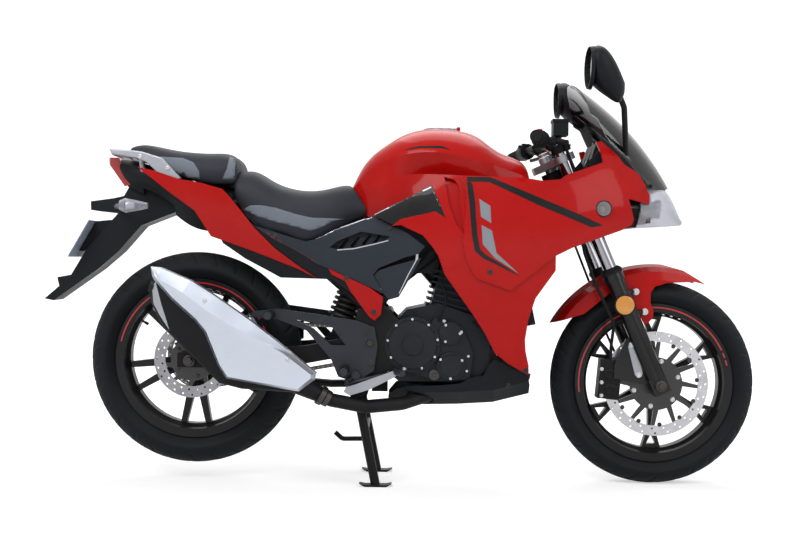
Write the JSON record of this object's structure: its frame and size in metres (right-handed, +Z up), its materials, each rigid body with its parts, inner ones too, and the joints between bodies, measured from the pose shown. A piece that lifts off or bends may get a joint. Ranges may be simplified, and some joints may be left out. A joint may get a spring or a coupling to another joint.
{
  "type": "sport motorcycle",
  "caption": "Full-fairing sport motorcycle on its centre stand, with turning wheels, raked steering, folding stands and a hinged fuel cap.",
  "frame": {"origin": "on the floor below the middle of the machine's bounding box", "axes": "+X to the front of the machine, +Y to the rider's left, +Z up"},
  "size_m": [2.0639, 0.7202, 1.2172],
  "materials": {
    "frame_paint": "satin black frame paint",
    "satin_black_metal": "satin black paint on metal",
    "steel": "plain machined steel",
    "dark_steel": "darkened steel",
    "engine_alloy": "dark painted cast alloy",
    "silver_shield": "satin silver paint",
    "red_paint": "gloss red paint",
    "black_plastic": "moulded black plastic",
    "grey_plastic": "moulded dark grey plastic",
    "seat_vinyl": "grained charcoal vinyl",
    "rail_silver": "satin cast alloy",
    "red_lens": "red lamp lens",
    "plate": "blank painted plate",
    "clear_lens": "clear lamp lens",
    "smoked_screen": "dark smoked screen",
    "chrome": "polished hard chrome",
    "grip_rubber": "ribbed black rubber",
    "tyre": "black tyre rubber",
    "wheel_black": "black painted cast alloy",
    "disc_steel": "machined brake steel"
  },
  "bodies": {
    "chassis": {"frame": "frame_paint", "swingarm": "satin_black_metal", "rear_axle": "steel", "rear_shock": "satin_black_metal", "engine_block": "engine_alloy", "engine_covers": "engine_alloy", "radiator": "satin_black_metal", "exhaust_pipe": "dark_steel", "muffler": "satin_black_metal", "muffler_cover": "silver_shield", "fuel_tank": "red_paint", "tank_side_panels": "black_plastic", "rider_seat": "seat_vinyl", "pillion_seat": "seat_vinyl", "grab_rail": "rail_silver", "tail_panels": "red_paint", "tail_under": "black_plastic", "tail_lamp": "red_lens", "number_plate": "plate", "indicators": "clear_lens", "side_covers": "grey_plastic", "heel_panels": "red_paint", "side_fairing_right": "red_paint", "side_fairing_left": "red_paint", "nose_cowl": "black_plastic", "headlamp": "clear_lens", "windscreen": "smoked_screen", "instrument_panel": "black_plastic", "belly_pan": "black_plastic", "mirrors": "black_plastic", "footrests": "engine_alloy", "chain": "dark_steel", "chain_guard": "black_plastic"},
    "front_wheel": {"front_tyre": "tyre", "front_rim": "wheel_black", "front_disc": "disc_steel"},
    "steering": {"fork_yokes": "rail_silver", "fork_tubes": "chrome", "fork_sliders": "satin_black_metal", "front_axle": "steel", "front_caliper": "rail_silver", "front_mudguard": "red_paint", "handlebars": "satin_black_metal", "grips": "grip_rubber", "hand_controls": "black_plastic", "hoses": "black_plastic"},
    "rear_wheel": {"rear_tyre": "tyre", "rear_rim": "wheel_black", "rear_disc": "disc_steel", "rear_sprocket": "dark_steel"},
    "centre_stand": {"centre_stand": "satin_black_metal"},
    "side_stand": {"side_stand": "satin_black_metal"},
    "fuel_cap": {"fuel_cap": "rail_silver"}
  },
  "joints": [
    {"name": "steering_turn", "type": "hinge", "parent": "chassis", "child": "steering", "pos_m": [0.48659, 0, 0.78643], "axis": [-0.3987, 0, 0.9171], "range_deg": [-27, 27]},
    {"name": "front_wheel_spin", "type": "hinge", "parent": "steering", "child": "front_wheel", "pos_m": [0.738, 0, 0.296], "axis": [0, 1, 0], "continuous": true},
    {"name": "rear_wheel_spin", "type": "hinge", "parent": "chassis", "child": "rear_wheel", "pos_m": [-0.592, 0, 0.35], "axis": [0, 1, 0], "continuous": true},
    {"name": "centre_stand_fold", "type": "hinge", "parent": "chassis", "child": "centre_stand", "pos_m": [-0.118, 0, 0.262], "axis": [0, 1, 0], "range_deg": [0, 85]},
    {"name": "side_stand_swing", "type": "hinge", "parent": "chassis", "child": "side_stand", "pos_m": [-0.059, 0.165, 0.262], "axis": [0, -0.9659, -0.2588], "range_deg": [0, 95]},
    {"name": "fuel_cap_lift", "type": "hinge", "parent": "chassis", "child": "fuel_cap", "pos_m": [0.163, 0, 1.026], "axis": [0, 1, 0], "range_deg": [0, 95]}
  ]
}
